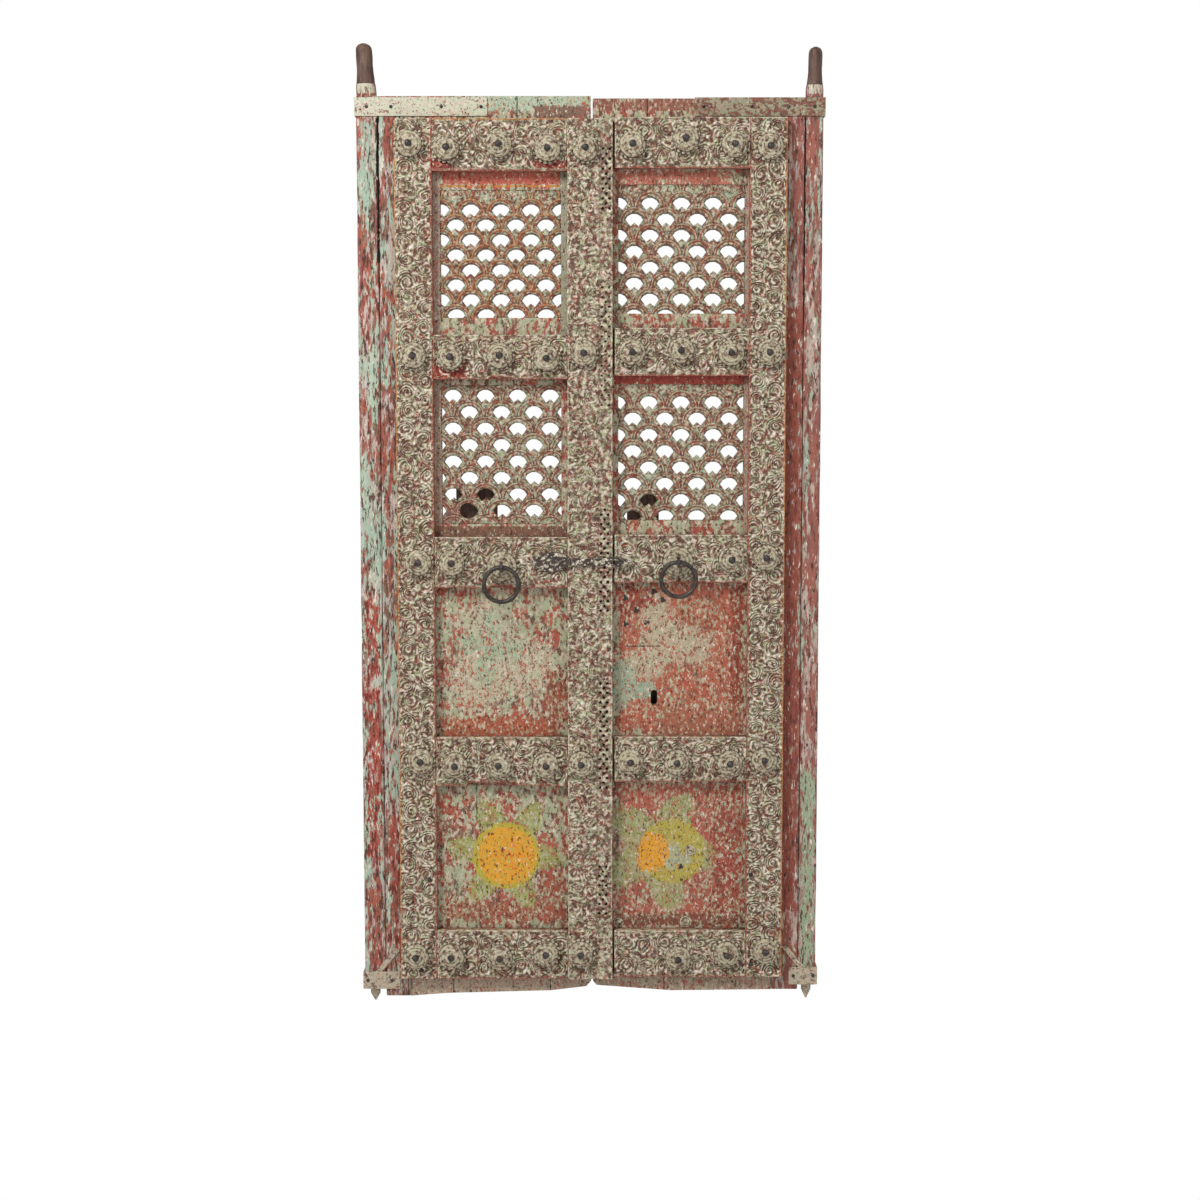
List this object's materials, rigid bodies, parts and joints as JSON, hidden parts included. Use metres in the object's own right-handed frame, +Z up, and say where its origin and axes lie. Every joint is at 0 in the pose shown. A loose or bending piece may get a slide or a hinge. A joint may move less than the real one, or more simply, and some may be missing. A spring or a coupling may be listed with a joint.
{
  "type": "carved double-leaf door",
  "caption": "Old carved and painted double-leaf door with pierced panels, nailed rails, scalloped bosses, ring handles, a hasp and round pivot pins",
  "frame": {"origin": "under the middle of the door, at the tip of the lower bottom spike, half way through the door's depth", "axes": "+X to the right across the closed door, +Y from the carved front to the plain back, +Z up along the pivots"},
  "size_m": [0.984, 0.1326, 2.045],
  "materials": {
    "post_wood": "matt",
    "plank_wood": "matt",
    "carved_wood": "matt",
    "boss_wood": "matt",
    "bare_wood": "matt",
    "painted_iron": "matt",
    "forged_iron": "satin"
  },
  "bodies": {
    "left_leaf": {"left_pivot_post": "post_wood", "left_bottom_spike": "forged_iron", "left_top_strap": "painted_iron", "left_foot_strap": "painted_iron", "left_corner_patch": "painted_iron", "left_strap_nails": "painted_iron", "left_outer_plank": "plank_wood", "left_plank_1": "plank_wood", "left_plank_2": "plank_wood", "left_plank_3": "plank_wood", "left_carved_stile": "carved_wood", "left_rail_1": "carved_wood", "left_rail_2": "carved_wood", "left_rail_3": "carved_wood", "left_rail_4": "carved_wood", "left_rail_5": "carved_wood", "left_bosses": "boss_wood", "left_nails": "forged_iron", "left_eye_bolt": "forged_iron", "left_back_patch": "bare_wood", "astragal": "carved_wood", "hasp_plate": "painted_iron", "hasp_pin": "forged_iron"},
    "right_leaf": {"right_pivot_post": "post_wood", "right_bottom_spike": "forged_iron", "right_top_strap": "painted_iron", "right_foot_strap": "painted_iron", "right_corner_patch": "painted_iron", "right_strap_nails": "painted_iron", "right_outer_plank": "plank_wood", "right_plank_1": "plank_wood", "right_plank_2": "plank_wood", "right_plank_3": "plank_wood", "right_carved_stile": "carved_wood", "right_rail_1": "carved_wood", "right_rail_2": "carved_wood", "right_rail_3": "carved_wood", "right_rail_4": "carved_wood", "right_rail_5": "carved_wood", "right_bosses": "boss_wood", "right_nails": "forged_iron", "right_eye_bolt": "forged_iron", "right_back_patch": "bare_wood", "hasp_staple": "forged_iron", "lock_case": "forged_iron"},
    "left_ring": {"left_ring": "forged_iron"},
    "right_ring": {"right_ring": "forged_iron"},
    "hasp": {"hasp": "painted_iron"}
  },
  "joints": [
    {"name": "right_leaf_swing", "type": "hinge", "parent": "left_leaf", "child": "right_leaf", "pos_m": [0.47, 0.0363, 1], "axis": [0, 0, -1], "range_deg": [0, 95]},
    {"name": "left_ring_swing", "type": "hinge", "parent": "left_leaf", "child": "left_ring", "pos_m": [-0.186, -0.055, 0.953], "axis": [-1, 0, 0], "range_deg": [0, 150]},
    {"name": "right_ring_swing", "type": "hinge", "parent": "right_leaf", "child": "right_ring", "pos_m": [0.186, -0.055, 0.964], "axis": [-1, 0, 0], "range_deg": [0, 150]},
    {"name": "hasp_swing", "type": "hinge", "parent": "left_leaf", "child": "hasp", "pos_m": [-0.046, -0.0268, 0.962], "axis": [0, 0, -1], "range_deg": [0, 150]}
  ]
}
